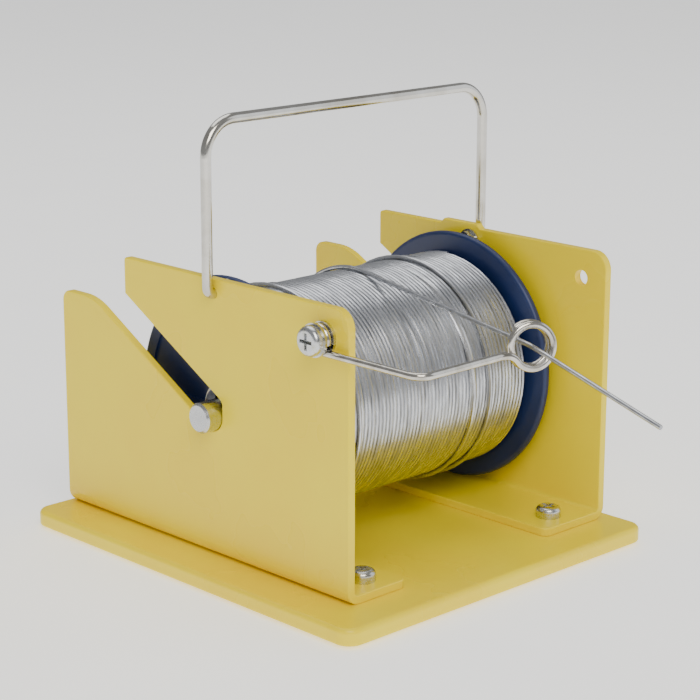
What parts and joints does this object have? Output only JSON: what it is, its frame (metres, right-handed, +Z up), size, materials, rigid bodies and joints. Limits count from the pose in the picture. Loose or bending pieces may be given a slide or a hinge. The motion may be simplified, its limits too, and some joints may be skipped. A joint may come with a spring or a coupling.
{
  "type": "solder reel stand",
  "caption": "Bench stand that carries a reel of solder on a lift-out rod between two slotted brackets, with a folding carry handle and a wire guide with an eyelet.",
  "frame": {"origin": "centre of the resting face, on the bench", "axes": "+Z up, -Y the front where the solder comes out through the guide, +X to the right along the reel's rod"},
  "size_m": [0.112, 0.1822, 0.1204],
  "materials": {
    "painted_steel": "satin stoved enamel on bent steel sheet",
    "mat_rubber": "matt moulded rubber",
    "plated_fastener": "bright zinc plating",
    "bright_wire": "nickel-plated drawn wire",
    "ground_rod": "ground bright steel bar",
    "spring_clip": "blackened spring steel",
    "reel_plastic": "moulded polystyrene",
    "bush_nylon": "natural nylon",
    "solder": null
  },
  "bodies": {
    "stand": {"base_plate": "painted_steel", "non_slip_mat": "mat_rubber", "left_bracket": "painted_steel", "right_bracket": "painted_steel", "bracket_screws": "plated_fastener", "bracket_lock_washers": "plated_fastener", "guide_screw": "plated_fastener", "guide_washers": "plated_fastener", "guide_lock_washer": "plated_fastener", "guide_nut": "plated_fastener"},
    "handle": {"carry_handle": "bright_wire", "handle_washers": "plated_fastener", "handle_nuts": "plated_fastener"},
    "axle": {"reel_axle": "ground_rod", "axle_clips": "spring_clip", "solder_strand_rear": "solder"},
    "reel": {"reel_spool": "reel_plastic", "left_reel_bush": "bush_nylon", "right_reel_bush": "bush_nylon", "solder_winding": "solder"},
    "guide": {"guide_wire": "bright_wire", "solder_strand_front": "solder"}
  },
  "joints": [
    {"name": "handle_fold", "type": "hinge", "parent": "stand", "child": "handle", "pos_m": [0, -0.0025, 0.0756], "axis": [1, 0, 0], "range_deg": [-45, 81]},
    {"name": "axle_lift", "type": "slide", "parent": "stand", "child": "axle", "axis": [0, 0.8704, 0.4924], "range_m": [0, 0.06], "deforming": ["solder_strand_rear"]},
    {"name": "reel_spin", "type": "hinge", "parent": "axle", "child": "reel", "pos_m": [0, -0.0011, 0.0434], "axis": [1, 0, 0], "continuous": true},
    {"name": "guide_tilt", "type": "hinge", "parent": "stand", "child": "guide", "pos_m": [-0.0468, -0.043, 0.0715], "axis": [-1, 0, 0], "range_deg": [-60, 45], "deforming": ["solder_strand_front"]}
  ]
}
